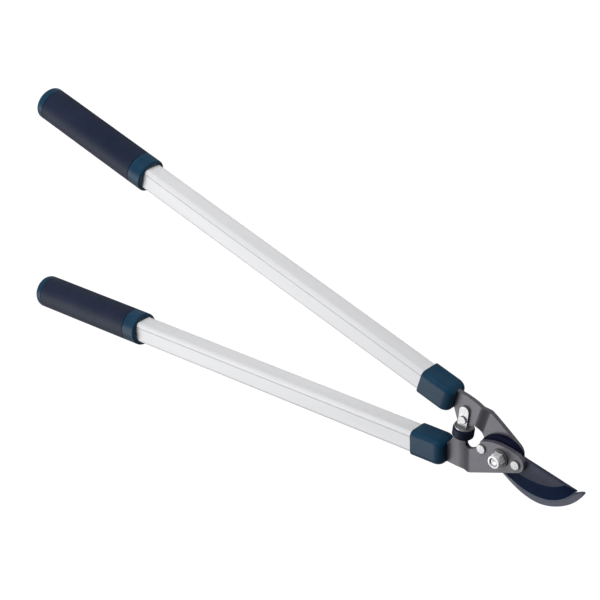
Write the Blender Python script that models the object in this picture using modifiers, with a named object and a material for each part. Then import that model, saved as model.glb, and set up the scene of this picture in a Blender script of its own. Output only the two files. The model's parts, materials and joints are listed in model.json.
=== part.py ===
# Bypass loppers with long tube handles, lying flat and closed, in metres with +Z up.
# +X runs from the grips to the jaws, and the pivot bolt stands along +Z.
# The hook half is the frame that stays still. The blade half turns about the pivot bolt.

import math

import bmesh
import bpy
from mathutils import Matrix, Vector
from mathutils.geometry import interpolate_bezier

# Where the pivot stands, so that the origin is under the middle of the whole tool.
PIVOT = Vector((0.2692, -0.0010, 0.0178))

# Clearance between pieces that touch.
GAP = 0.0003

# Handles. Stations are measured along each handle from level with the pivot.
HANDLE_ANGLE = math.radians(9.0)
UPPER_OFFSET = 0.0215
LOWER_OFFSET = 0.0195
FERRULE_HEAD = 0.060
FERRULE_TAIL = 0.0968
COLLAR_START = 0.4686
COLLAR_END = 0.4856
CAP_START = 0.6172
DOME_START = 0.6222
GRIP_END = 0.6300

TUBE_WIDTH = 0.0230
TUBE_HEIGHT = 0.0220
TUBE_CORNER = 0.0042
TUBE_WALL = 0.0015
TUBE_START = 0.0660
TUBE_END = 0.6000
FERRULE_WALL = 0.0020
FERRULE_FACE = 0.0040
FERRULE_NOSE = 0.0095
FERRULE_NOSE_INSET = 0.0052
FERRULE_TAIL_ROUND = 0.0010
GRIP_RADIUS = 0.0178
CORE_RADIUS = 0.0156
SPIGOT_RADIUS = 0.0092
SPIGOT_START = 0.5850

# The steel tang of each arm, held in its tube by a plastic insert and a cross pin.
TANG_HALF_WIDTH = 0.0070
ARM_ROOT = 0.0594
TANG_SHOULDER = 0.0654
TANG_END = 0.1180
INSERT_END = 0.1200
PIN_STATION = 0.0820
PIN_RADIUS = 0.0025

# Plates, stacked along the pivot: hook behind, blade in the middle, lower arm in front.
BLADE_THICKNESS = 0.0038
ARM_THICKNESS = 0.0045
HEAD_SHIFT = BLADE_THICKNESS / 2 + GAP + ARM_THICKNESS / 2
PLATE_FRONT = HEAD_SHIFT + ARM_THICKNESS / 2
EDGE_LAND = 0.0003
UPPER_BEND = (-0.0370, -0.0274)
LOWER_BEND = (-0.0450, -0.0330)
BEND_STEPS = 8

# Pivot hardware.
BOLT_RADIUS = 0.0040
BUSH_RADIUS = 0.0058
WASHER_RADIUS = 0.0091
WASHER_THICKNESS = 0.0015
NUT_FLATS = 0.0130
NUT_TURN = math.radians(35.0)
NUT_HEX_HEIGHT = 0.0062
NUT_COLLAR_RADIUS = 0.0062
NUT_COLLAR_HEIGHT = 0.0023
BOLT_RECESS = 0.0012
BOLT_HEAD_HEIGHT = 0.0053

# Rivets that hold the blade to the lower arm, as places seen from the pivot.
FRONT_RIVET = Vector((0.0170, 0.0015))
REAR_RIVET = Vector((-0.0208, -0.0013))
RIVET_HEAD_RADIUS = 0.0047
RIVET_HEAD_HEIGHT = 0.0014
RIVET_RADIUS = 0.0028

# Rubber bumper under a bent steel bracket on the upper arm.
BUMPER_X = -0.0470
RUBBER_RADIUS = 0.0104
RUBBER_BOTTOM = -0.0033
RUBBER_TOP = 0.0061
DISC_RADIUS = 0.0094
DISC_THICKNESS = 0.0017
STUD_RADIUS = 0.0025
STUD_HEAD_RADIUS = 0.0040
STUD_HEAD_HEIGHT = 0.0025
BRACKET_THICKNESS = 0.0020
BRACKET_HALF_WIDTH = 0.0051
BRACKET_TOP = 0.0305
FOOT_DEPTH = 0.0075
BRACKET_RIVET = Vector((-0.0466, 0.0163))
BRACKET_RIVET_RADIUS = 0.0020
BRACKET_RIVET_HEAD = 0.0040
BRACKET_RIVET_HEIGHT = 0.0012

ROUND_SEGMENTS = 32

# Linear colours.
TEAL = (0.012, 0.075, 0.125)
NAVY_RUBBER = (0.017, 0.021, 0.034)
BARE_ALUMINIUM = (0.78, 0.79, 0.80)
GREY_PAINT = (0.17, 0.17, 0.18)
NAVY_BLADE = (0.020, 0.024, 0.050)
ZINC = (0.66, 0.67, 0.68)
BLACK_RUBBER = (0.010, 0.012, 0.026)
PALE_NYLON = (0.55, 0.54, 0.50)


def clear_scene():
    for obj in list(bpy.data.objects):
        bpy.data.objects.remove(obj, do_unlink=True)


def add_collection(name):
    collection = bpy.data.collections.new(name)
    bpy.context.scene.collection.children.link(collection)
    return collection


def material(name, colour, roughness, metallic):
    made = bpy.data.materials.new(name)
    made.use_nodes = True
    shader = made.node_tree.nodes["Principled BSDF"]
    shader.inputs["Base Color"].default_value = (*colour, 1.0)
    shader.inputs["Roughness"].default_value = roughness
    shader.inputs["Metallic"].default_value = metallic
    made.diffuse_color = (*colour, 1.0)
    return made


def finish(obj, parent, colour, roughness, metallic):
    """Puts a sub-part in the object's collection, under its empty and in its own material."""
    obj.data.materials.clear()
    obj.data.materials.append(material(obj.name, colour, roughness, metallic))
    obj.parent = parent
    parts.objects.link(obj)
    return obj


def empty(name, parent, place, turn=0.0):
    made = bpy.data.objects.new(name, None)
    made.empty_display_size = 0.03
    made.parent = parent
    made.location = place
    made.rotation_euler = (0.0, 0.0, turn)
    parts.objects.link(made)
    return made


# Outlines, as lists of (x, y).


def arc(centre, radius, start, stop, steps):
    """Points from start to stop, in degrees."""
    angles = [math.radians(start + (stop - start) * i / steps) for i in range(steps + 1)]
    return [(centre[0] + radius * math.cos(a), centre[1] + radius * math.sin(a)) for a in angles]


def bezier(start, first, second, stop, steps):
    """Points of one Bezier stretch, without its last point, so that stretches join up."""
    knots = [Vector((*p, 0.0)) for p in (start, first, second, stop)]
    return [(p.x, p.y) for p in interpolate_bezier(*knots, steps + 1)][:-1]


def circle(centre, radius, steps=ROUND_SEGMENTS):
    return arc(centre, radius, 0.0, 360.0, steps)[:-1]


def rounded_box(height, width, corner, steps=4):
    x, y = height / 2 - corner, width / 2 - corner
    points = []
    for centre, start in (((x, y), 0), ((-x, y), 90), ((-x, -y), 180), ((x, -y), 270)):
        points += arc(centre, corner, start, start + 90, steps)
    return points


def on_handle(side, station, outward):
    """The (x, y) seen from the pivot of a place beside a handle. side is 1 above and -1 below."""
    offset = UPPER_OFFSET if side > 0 else LOWER_OFFSET
    x = -station * math.cos(HANDLE_ANGLE) + outward * math.sin(HANDLE_ANGLE)
    y = offset + station * math.sin(HANDLE_ANGLE) + outward * math.cos(HANDLE_ANGLE)
    return (x, side * y)


# Shapes.


def plate(name, loops, thickness, z=0.0):
    """A flat plate from an outline and the outlines of its holes, centred on height z."""
    curve = bpy.data.curves.new(name, "CURVE")
    curve.dimensions = "2D"
    curve.fill_mode = "BOTH"
    curve.extrude = thickness / 2
    for loop in loops:
        spline = curve.splines.new("POLY")
        spline.points.add(len(loop) - 1)
        for point, (x, y) in zip(spline.points, loop):
            point.co = (x, y, 0.0, 1.0)
        spline.use_cyclic_u = True
    flat = bpy.data.objects.new(name, curve)
    bpy.context.scene.collection.objects.link(flat)
    evaluated = flat.evaluated_get(bpy.context.evaluated_depsgraph_get())
    mesh = bpy.data.meshes.new_from_object(evaluated)
    bpy.data.objects.remove(flat, do_unlink=True)
    mesh.name = name
    bm = bmesh.new()
    bm.from_mesh(mesh)
    bmesh.ops.remove_doubles(bm, verts=bm.verts, dist=1e-6)
    bmesh.ops.recalc_face_normals(bm, faces=bm.faces)
    bmesh.ops.translate(bm, verts=bm.verts, vec=(0.0, 0.0, z))
    bm.to_mesh(mesh)
    bm.free()
    return bpy.data.objects.new(name, mesh)


def prism(name, sides, radius, low, high, turn=0.0):
    """A cylinder, or a hexagonal prism with sides=6, standing on Z from low to high."""
    bm = bmesh.new()
    place = Matrix.Translation((0.0, 0.0, (low + high) / 2)) @ Matrix.Rotation(turn, 4, "Z")
    bmesh.ops.create_cone(
        bm, cap_ends=True, segments=sides, radius1=radius, radius2=radius, depth=high - low, matrix=place
    )
    mesh = bpy.data.meshes.new(name)
    bm.to_mesh(mesh)
    bm.free()
    return bpy.data.objects.new(name, mesh)


def block(name, low, high):
    """A box between two corners."""
    low, high = Vector(low), Vector(high)
    bm = bmesh.new()
    size = high - low
    place = Matrix.Translation((low + high) / 2) @ Matrix.Diagonal((size.x, size.y, size.z, 1.0))
    bmesh.ops.create_cube(bm, size=1.0, matrix=place)
    mesh = bpy.data.meshes.new(name)
    bm.to_mesh(mesh)
    bm.free()
    return bpy.data.objects.new(name, mesh)


def lofted(name, rings):
    """A solid through sections of equally many points, each given with its height on Z."""
    bm = bmesh.new()
    loops = [[bm.verts.new((x, y, height)) for x, y in ring] for ring, height in rings]
    bm.faces.new(loops[0])
    bm.faces.new(loops[-1])
    for low, high in zip(loops, loops[1:]):
        for i in range(len(low)):
            j = (i + 1) % len(low)
            bm.faces.new((low[i], low[j], high[j], high[i]))
    bmesh.ops.recalc_face_normals(bm, faces=bm.faces)
    mesh = bpy.data.meshes.new(name)
    bm.to_mesh(mesh)
    bm.free()
    return bpy.data.objects.new(name, mesh)


def turned(name, profile, closed=False):
    """A turned piece about Z from (radius, height) points that run down its outer side."""
    mesh = bpy.data.meshes.new(name)
    count = len(profile)
    edges = [(i, i + 1) for i in range(count - 1)] + ([(count - 1, 0)] if closed else [])
    mesh.from_pydata([(radius, 0.0, height) for radius, height in profile], edges, [])
    obj = bpy.data.objects.new(name, mesh)
    screw = obj.modifiers.new("turn", "SCREW")
    screw.axis = "Z"
    screw.steps = ROUND_SEGMENTS
    screw.render_steps = ROUND_SEGMENTS
    screw.use_merge_vertices = True
    screw.merge_threshold = 1e-5
    return obj


def along_handle(obj):
    """Turns a piece made about Z so that its Z runs along its handle."""
    obj.rotation_euler = (0.0, math.pi / 2, 0.0)
    return obj


def boolean(obj, cutter, operation="DIFFERENCE"):
    """Cuts or adds cutter, which is given in the same frame as obj."""
    cutter.name = obj.name + "_" + cutter.name
    cutter.hide_render = True
    cutter.display_type = "WIRE"
    cutter.parent = obj
    cutters.objects.link(cutter)
    modifier = obj.modifiers.new(cutter.name, "BOOLEAN")
    modifier.operation = operation
    modifier.solver = "EXACT"
    modifier.object = cutter
    return obj


def joggle(obj, angle, bend, shift):
    """Steps a flat plate sideways by shift, across two bends square to the handle's line."""
    direction = Vector((math.cos(angle), math.sin(angle), 0.0))
    bm = bmesh.new()
    bm.from_mesh(obj.data)
    start, stop = bend
    for i in range(BEND_STEPS + 1):
        place = direction * (start + (stop - start) * i / BEND_STEPS)
        geometry = bm.verts[:] + bm.edges[:] + bm.faces[:]
        bmesh.ops.bisect_plane(bm, geom=geometry, dist=1e-7, plane_co=place, plane_no=direction)
    for vert in bm.verts:
        t = min(max((vert.co.dot(direction) - start) / (stop - start), 0.0), 1.0)
        vert.co.z += shift * (3.0 - 2.0 * t) * t * t
    bm.to_mesh(obj.data)
    bm.free()
    return obj


# Handles.


def make_tube(prefix, axis):
    outer = rounded_box(TUBE_HEIGHT, TUBE_WIDTH, TUBE_CORNER)
    inner_corner = TUBE_CORNER - TUBE_WALL
    inner = rounded_box(TUBE_HEIGHT - 2 * TUBE_WALL, TUBE_WIDTH - 2 * TUBE_WALL, inner_corner)
    middle = (TUBE_START + TUBE_END) / 2
    tube = plate(prefix + "_tube", [outer, inner], TUBE_END - TUBE_START, middle)
    boolean(tube, pin_hole("pin_hole"))
    return finish(along_handle(tube), axis, BARE_ALUMINIUM, 0.35, 0.85)


def pin_hole(name):
    """A cutter for the cross pin, in the frame of a piece that was made about Z."""
    hole = prism(name, ROUND_SEGMENTS, PIN_RADIUS + GAP, -TUBE_HEIGHT, TUBE_HEIGHT)
    hole.data.transform(Matrix.Translation((0.0, 0.0, PIN_STATION)) @ Matrix.Rotation(math.pi / 2, 4, "Y"))
    return hole


def make_insert(prefix, axis):
    room = 2 * (TUBE_WALL + GAP)
    outer = rounded_box(TUBE_HEIGHT - room, TUBE_WIDTH - room, TUBE_CORNER - TUBE_WALL)
    slot_height = ARM_THICKNESS + 2 * GAP
    slot_width = 2 * (TANG_HALF_WIDTH + GAP)
    slot = rounded_box(slot_height, slot_width, GAP, steps=1)
    length = INSERT_END - TUBE_START
    insert = plate(prefix + "_tang_insert", [outer, slot], length, TUBE_START + length / 2)
    boolean(insert, pin_hole("pin_hole"))
    return finish(along_handle(insert), axis, PALE_NYLON, 0.5, 0.0)


def make_pin(prefix, axis):
    pin = prism(prefix + "_tang_pin", ROUND_SEGMENTS, PIN_RADIUS, -TUBE_HEIGHT / 2, TUBE_HEIGHT / 2)
    pin.location = (PIN_STATION, 0.0, 0.0)
    return finish(pin, axis, ZINC, 0.35, 1.0)


def ferrule_ring(end, depth, deepest, turn):
    """One section through an end that draws in along a quarter ellipse, and its station."""
    inset = deepest * (1.0 - math.cos(math.radians(turn)))
    station = end + depth * (1.0 - math.sin(math.radians(turn)))
    height = TUBE_HEIGHT + 2 * (FERRULE_WALL - inset)
    width = TUBE_WIDTH + 2 * (FERRULE_WALL - inset)
    return rounded_box(height, width, TUBE_CORNER + FERRULE_WALL - inset), station


def make_ferrule(prefix, axis, side, inner_edge, outer_edge):
    """A plastic collar over the tube's end, with a slot for the arm between its two edges."""
    rings = []
    for turn in (90.0, 72.0, 54.0, 36.0, 18.0, 0.0):
        rings.append(ferrule_ring(FERRULE_HEAD, FERRULE_NOSE, FERRULE_NOSE_INSET, turn))
    for turn in (0.0, 45.0, 90.0):
        rings.append(ferrule_ring(FERRULE_TAIL, -FERRULE_TAIL_ROUND, FERRULE_TAIL_ROUND, turn))
    ferrule = lofted(prefix + "_ferrule", rings)
    pocket_loop = rounded_box(TUBE_HEIGHT + 2 * GAP, TUBE_WIDTH + 2 * GAP, TUBE_CORNER + GAP)
    pocket_start = FERRULE_HEAD + FERRULE_FACE
    pocket_length = FERRULE_TAIL - pocket_start + 0.01
    boolean(ferrule, plate("pocket", [pocket_loop], pocket_length, pocket_start + pocket_length / 2))
    half = ARM_THICKNESS / 2 + GAP
    # The upper handle's own Y points inwards, and the lower handle's outwards.
    edges = sorted((-side * (inner_edge - GAP), -side * (outer_edge + GAP)))
    slot = block("slot", (-half, edges[0], FERRULE_HEAD - 0.01), (half, edges[1], pocket_start + 0.001))
    boolean(ferrule, slot)
    return finish(along_handle(ferrule), axis, TEAL, 0.32, 0.0)


def make_grip(prefix, axis):
    """The hard core with its collar, the rubber sleeve over it and the cap that closes the end."""
    lip = 0.0016
    core = turned(
        prefix + "_grip_core",
        [
            (0.0, CAP_START - GAP),
            (CORE_RADIUS, CAP_START - GAP),
            (CORE_RADIUS, COLLAR_END),
            (GRIP_RADIUS, COLLAR_END),
            (GRIP_RADIUS, COLLAR_START + lip),
            (GRIP_RADIUS - lip / 3, COLLAR_START + lip / 3),
            (GRIP_RADIUS - lip, COLLAR_START),
            (0.0, COLLAR_START),
        ],
    )
    bore = rounded_box(TUBE_HEIGHT + 2 * GAP, TUBE_WIDTH + 2 * GAP, TUBE_CORNER + GAP)
    length = GRIP_END - COLLAR_START
    boolean(core, plate("bore", [bore], length + 0.02, COLLAR_START + length / 2))
    finish(along_handle(core), axis, TEAL, 0.32, 0.0)

    sleeve = turned(
        prefix + "_grip_sleeve",
        [
            (GRIP_RADIUS, CAP_START - GAP),
            (GRIP_RADIUS, COLLAR_END + GAP),
            (CORE_RADIUS + GAP, COLLAR_END + GAP),
            (CORE_RADIUS + GAP, CAP_START - GAP),
        ],
        closed=True,
    )
    finish(along_handle(sleeve), axis, NAVY_RUBBER, 0.7, 0.0)

    depth = GRIP_END - DOME_START
    dome = arc((0.0, 0.0), 1.0, 90.0, 0.0, 6)
    profile = [(GRIP_RADIUS * x**0.8, DOME_START + depth * y) for x, y in dome]
    profile += [(GRIP_RADIUS, CAP_START), (SPIGOT_RADIUS, CAP_START)]
    profile += [(SPIGOT_RADIUS, SPIGOT_START), (0.0, SPIGOT_START)]
    cap = turned(prefix + "_grip_end_cap", profile)
    finish(along_handle(cap), axis, TEAL, 0.32, 0.0)


def make_handle(prefix, half, side, inner_edge, outer_edge):
    offset = UPPER_OFFSET if side > 0 else LOWER_OFFSET
    axis = empty(prefix + "_handle_line", half, (0.0, side * offset, 0.0), math.pi - side * HANDLE_ANGLE)
    make_tube(prefix, axis)
    make_insert(prefix, axis)
    make_pin(prefix, axis)
    make_ferrule(prefix, axis, side, inner_edge, outer_edge)
    make_grip(prefix, axis)


# Head plates, in outlines seen from the pivot.


def tang(side, inner_edge, outer_edge):
    """The end of an arm inside its handle, from its outer edge round to its inner edge."""
    return [
        on_handle(side, TANG_SHOULDER, outer_edge),
        on_handle(side, TANG_SHOULDER, TANG_HALF_WIDTH),
        on_handle(side, TANG_END, TANG_HALF_WIDTH),
        on_handle(side, TANG_END, -TANG_HALF_WIDTH),
        on_handle(side, TANG_SHOULDER, -TANG_HALF_WIDTH),
        on_handle(side, TANG_SHOULDER, inner_edge),
    ]


UPPER_EDGES = (-0.0080, 0.0110)
LOWER_EDGES = (-0.0100, 0.0104)

HOOK_TIP = (0.0840, 0.0003)
HOOK_THROAT = (0.0175, 0.0047)
BLADE_HEEL = (0.0100, -0.0225)
BLADE_TIP = (0.0790, 0.0040)
BLADE_BACK = (0.0204, 0.0086)


def make_upper_arm(half):
    """The arm that is also the hook, from its tang along its inner edge to the hook and back."""
    outline = tang(1, *UPPER_EDGES)
    outline += [on_handle(1, ARM_ROOT, UPPER_EDGES[0]), (-0.0542, 0.0112), (-0.0380, 0.0122)]
    outline += bezier((-0.0352, 0.0150), (-0.0310, 0.0135), (-0.0275, 0.0080), (-0.0240, 0.0020), 10)
    outline += bezier((-0.0240, 0.0020), (-0.0230, -0.0110), (-0.0150, -0.0150), (-0.0040, -0.0195), 10)
    outline += bezier((-0.0040, -0.0195), (0.0095, -0.0265), (0.0235, -0.0339), (0.0405, -0.0326), 16)
    outline += bezier((0.0405, -0.0326), (0.0585, -0.0310), (0.0788, -0.0148), HOOK_TIP, 20)
    outline += bezier(HOOK_TIP, (0.0856, 0.0030), (0.0838, 0.0040), (0.0790, 0.0002), 8)
    outline += bezier((0.0790, 0.0002), (0.0692, -0.0070), (0.0560, -0.0200), (0.0360, -0.0195), 16)
    outline += bezier((0.0360, -0.0195), (0.0240, -0.0190), (0.0140, -0.0110), HOOK_THROAT, 16)
    outline += bezier(HOOK_THROAT, (0.0168, 0.0105), (0.0150, 0.0134), (0.0110, 0.0157), 8)
    outline += bezier((0.0110, 0.0157), (-0.0060, 0.0255), (-0.0180, 0.0320), (-0.0260, 0.0354), 6)
    outer_root = on_handle(1, ARM_ROOT, UPPER_EDGES[1])
    outline += bezier((-0.0260, 0.0354), (-0.0340, 0.0394), (-0.0430, 0.0415), outer_root, 10)
    outline += [outer_root]
    bush = circle((0.0, 0.0), BUSH_RADIUS + GAP)
    arm = plate("upper_arm_hook", [outline, bush], ARM_THICKNESS)
    joggle(arm, -HANDLE_ANGLE, UPPER_BEND, -HEAD_SHIFT)
    boolean(arm, tang_hole(1))
    shank = prism("bracket_rivet_hole", ROUND_SEGMENTS, BRACKET_RIVET_RADIUS + GAP, -0.01, 0.01)
    shank.data.transform(Matrix.Translation((*BRACKET_RIVET, 0.0)))
    boolean(arm, shank)
    return finish(arm, half, GREY_PAINT, 0.45, 0.35)


def tang_hole(side):
    hole = prism("tang_hole", ROUND_SEGMENTS, PIN_RADIUS + GAP, -0.01, 0.01)
    hole.data.transform(Matrix.Translation((*on_handle(side, PIN_STATION, 0.0), 0.0)))
    return hole


def make_lower_arm(half):
    """The arm that carries the blade. A raised land on its inner edge meets the bumper."""
    land = RUBBER_BOTTOM - GAP
    outline = tang(-1, *LOWER_EDGES)[::-1]
    outer_root = on_handle(-1, ARM_ROOT, LOWER_EDGES[1])
    outline += bezier(outer_root, (-0.0480, -0.0385), (-0.0400, -0.0378), (-0.0335, -0.0361), 6)
    outline += [(-0.0335, -0.0361)]
    outline += arc((0.0162, 0.0026), 0.0093, -60.0, 66.0, 20)
    outline += bezier((0.0180, 0.0124), (0.0040, 0.0143), (-0.0130, 0.0135), (-0.0215, 0.0062), 16)
    outline += [(-0.0232, 0.0064)]
    outline += bezier((-0.0242, 0.0015), (-0.0262, -0.0062), (-0.0385, -0.0130), (-0.0414, -0.0085), 16)
    outline += [(-0.0414, land), (-0.0530, land), (-0.0550, -0.0080)]
    outline += [on_handle(-1, ARM_ROOT, LOWER_EDGES[0])]
    bush = circle((0.0, 0.0), BUSH_RADIUS + GAP)
    rivets = [circle(place, RIVET_RADIUS + GAP) for place in (FRONT_RIVET, REAR_RIVET)]
    arm = plate("lower_arm", [outline, bush, *rivets], ARM_THICKNESS)
    joggle(arm, HANDLE_ANGLE, LOWER_BEND, HEAD_SHIFT)
    boolean(arm, tang_hole(-1))
    return finish(arm, half, GREY_PAINT, 0.45, 0.35)


def make_blade(half):
    """The blade, with a bevel on its front from the cutting edge up to a curved line."""
    edge = bezier(BLADE_HEEL, (0.0300, -0.0310), (0.0640, -0.0300), BLADE_TIP, 32) + [BLADE_TIP]
    bevel = bezier((0.0105, -0.0095), (0.0280, -0.0095), (0.0500, -0.0125), (0.0670, 0.0050), 32)
    bevel += [(0.0670, 0.0050)]
    root = bezier(BLADE_BACK, (0.0150, 0.0210), (-0.0090, 0.0250), (-0.0236, 0.0075), 24)
    root += [(-0.0236, 0.0068), (-0.0262, 0.0010), (-0.0255, -0.0050)]
    root += bezier((-0.0200, -0.0095), (-0.0150, -0.0160), (-0.0030, -0.0195), (0.0094, -0.0170), 12)
    low, high = -BLADE_THICKNESS / 2, BLADE_THICKNESS / 2
    rings = [(edge + root, low), (edge + root, low + EDGE_LAND), (bevel + root, high)]
    blade = lofted("cutting_blade", rings)
    holes = ((Vector((0.0, 0.0)), BUSH_RADIUS), (FRONT_RIVET, RIVET_RADIUS), (REAR_RIVET, RIVET_RADIUS))
    for number, (place, radius) in enumerate(holes):
        hole = prism(f"hole_{number}", ROUND_SEGMENTS, radius + GAP, -0.01, 0.01)
        hole.data.transform(Matrix.Translation((*place, 0.0)))
        boolean(blade, hole)
    return finish(blade, half, NAVY_BLADE, 0.4, 0.5)


def make_blade_rivet(name, half, place):
    top = PLATE_FRONT + GAP + RIVET_HEAD_HEIGHT
    rim = RIVET_HEAD_HEIGHT / 4
    rivet = turned(
        name,
        [
            (0.0, top),
            (RIVET_HEAD_RADIUS - rim, top),
            (RIVET_HEAD_RADIUS, top - rim),
            (RIVET_HEAD_RADIUS, PLATE_FRONT + GAP),
            (RIVET_RADIUS, PLATE_FRONT + GAP),
            (RIVET_RADIUS, -BLADE_THICKNESS / 2),
            (0.0, -BLADE_THICKNESS / 2),
        ],
    )
    rivet.location = (*place, 0.0)
    return finish(rivet, half, ZINC, 0.28, 1.0)


# Pivot hardware, all turning with the hook half.


def make_pivot(half):
    washer_low = PLATE_FRONT + GAP
    nut_low = washer_low + WASHER_THICKNESS + GAP
    collar_top = nut_low + NUT_HEX_HEIGHT + NUT_COLLAR_HEIGHT
    head_top = -PLATE_FRONT - GAP
    corner_radius = NUT_FLATS / math.sqrt(3.0)

    bolt = prism("pivot_bolt", 6, corner_radius, head_top - BOLT_HEAD_HEIGHT, head_top)
    shank = prism("shank", ROUND_SEGMENTS, BOLT_RADIUS, head_top - 0.001, collar_top - BOLT_RECESS)
    boolean(bolt, shank, "UNION")
    finish(bolt, half, ZINC, 0.3, 1.0)

    bush = plate(
        "pivot_bush",
        [circle((0.0, 0.0), BUSH_RADIUS), circle((0.0, 0.0), BOLT_RADIUS + GAP)],
        2 * PLATE_FRONT,
    )
    finish(bush, half, ZINC, 0.3, 1.0)

    washer = plate(
        "pivot_washer",
        [circle((0.0, 0.0), WASHER_RADIUS), circle((0.0, 0.0), BOLT_RADIUS + GAP)],
        WASHER_THICKNESS,
        washer_low + WASHER_THICKNESS / 2,
    )
    finish(washer, half, ZINC, 0.3, 1.0)

    nut = prism("pivot_nut", 6, corner_radius, nut_low, nut_low + NUT_HEX_HEIGHT, NUT_TURN)
    collar = prism("collar", ROUND_SEGMENTS, NUT_COLLAR_RADIUS, nut_low + 0.001, collar_top)
    boolean(nut, collar, "UNION")
    thread = prism("thread", ROUND_SEGMENTS, BOLT_RADIUS + GAP, nut_low - 0.01, collar_top + 0.01)
    boolean(nut, thread)
    finish(nut, half, ZINC, 0.3, 1.0)


# Bumper, on the upper arm. Its pieces are turned about an axis along -Y.


def make_bumper(half):
    disc_low = RUBBER_TOP + GAP
    foot_low = disc_low + DISC_THICKNESS + GAP
    foot_high = foot_low + BRACKET_THICKNESS
    face = ARM_THICKNESS / 2 + GAP
    head_low = 0.0010 - STUD_HEAD_HEIGHT

    top = BRACKET_TOP - BRACKET_HALF_WIDTH
    sides = (BUMPER_X - BRACKET_HALF_WIDTH, BUMPER_X + BRACKET_HALF_WIDTH)
    outline = [(sides[0], foot_low), (sides[1], foot_low)]
    outline += arc((BUMPER_X, top), BRACKET_HALF_WIDTH, 0.0, 180.0, 12)
    rivet_hole = circle(BRACKET_RIVET, BRACKET_RIVET_RADIUS + GAP)
    bracket = plate(
        "bumper_bracket", [outline, rivet_hole], BRACKET_THICKNESS, face + BRACKET_THICKNESS / 2
    )
    foot = block(
        "foot", (sides[0], foot_low, -FOOT_DEPTH), (sides[1], foot_high, face + BRACKET_THICKNESS / 2)
    )
    boolean(bracket, foot, "UNION")
    stud_hole = prism("stud_hole", ROUND_SEGMENTS, STUD_RADIUS + GAP, -0.01, 0.01)
    turn = Matrix.Translation((BUMPER_X, foot_low, 0.0)) @ Matrix.Rotation(math.pi / 2, 4, "X")
    stud_hole.data.transform(turn)
    boolean(bracket, stud_hole)
    finish(bracket, half, ZINC, 0.3, 1.0)

    head_radius = BRACKET_RIVET_HEAD
    front = face + BRACKET_THICKNESS + GAP
    rivet = turned(
        "bracket_rivet",
        [
            (0.0, front + BRACKET_RIVET_HEIGHT),
            (head_radius * 0.9, front + BRACKET_RIVET_HEIGHT),
            (head_radius, front + BRACKET_RIVET_HEIGHT * 0.7),
            (head_radius, front),
            (BRACKET_RIVET_RADIUS, front),
            (BRACKET_RIVET_RADIUS, -face),
            (head_radius, -face),
            (head_radius, -face - BRACKET_RIVET_HEIGHT),
            (0.0, -face - BRACKET_RIVET_HEIGHT),
        ],
    )
    rivet.location = (*BRACKET_RIVET, 0.0)
    finish(rivet, half, ZINC, 0.25, 1.0)

    hole = STUD_RADIUS + GAP
    disc = turned(
        "bumper_disc",
        [
            (DISC_RADIUS, disc_low + DISC_THICKNESS),
            (DISC_RADIUS, disc_low),
            (hole, disc_low),
            (hole, disc_low + DISC_THICKNESS),
        ],
        closed=True,
    )
    counterbore = STUD_HEAD_RADIUS + GAP
    head_top = head_low + STUD_HEAD_HEIGHT + GAP
    lip = 0.0008
    rubber = turned(
        "bumper_rubber",
        [
            (RUBBER_RADIUS - lip, RUBBER_TOP),
            (RUBBER_RADIUS, RUBBER_TOP - lip),
            (RUBBER_RADIUS, RUBBER_BOTTOM + lip),
            (RUBBER_RADIUS - lip, RUBBER_BOTTOM),
            (counterbore, RUBBER_BOTTOM),
            (counterbore, head_top),
            (hole, head_top),
            (hole, RUBBER_TOP),
        ],
        closed=True,
    )
    stud = turned(
        "bumper_stud",
        [
            (0.0, foot_high),
            (STUD_RADIUS, foot_high),
            (STUD_RADIUS, head_low + STUD_HEAD_HEIGHT),
            (STUD_HEAD_RADIUS, head_low + STUD_HEAD_HEIGHT),
            (STUD_HEAD_RADIUS, head_low),
            (0.0, head_low),
        ],
    )
    for piece in (disc, rubber, stud):
        piece.location = (BUMPER_X, 0.0, 0.0)
        piece.rotation_euler = (-math.pi / 2, 0.0, 0.0)
    finish(disc, half, ZINC, 0.25, 1.0)
    finish(rubber, half, BLACK_RUBBER, 0.6, 0.0)
    finish(stud, half, ZINC, 0.3, 1.0)


clear_scene()
parts = add_collection("bypass_loppers")
cutters = add_collection("cutters")
cutters.hide_render = True

hook_half = empty("hook_half", None, PIVOT)
blade_half = empty("blade_half", None, PIVOT)

make_handle("upper", hook_half, 1, *UPPER_EDGES)
make_upper_arm(hook_half)
make_pivot(hook_half)
make_bumper(hook_half)

make_handle("lower", blade_half, -1, *LOWER_EDGES)
make_lower_arm(blade_half)
make_blade(blade_half)
make_blade_rivet("blade_rivet_front", blade_half, FRONT_RIVET)
make_blade_rivet("blade_rivet_rear", blade_half, REAR_RIVET)
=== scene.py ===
import json
import math

import bmesh
import bpy
from mathutils import Matrix, Vector


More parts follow.
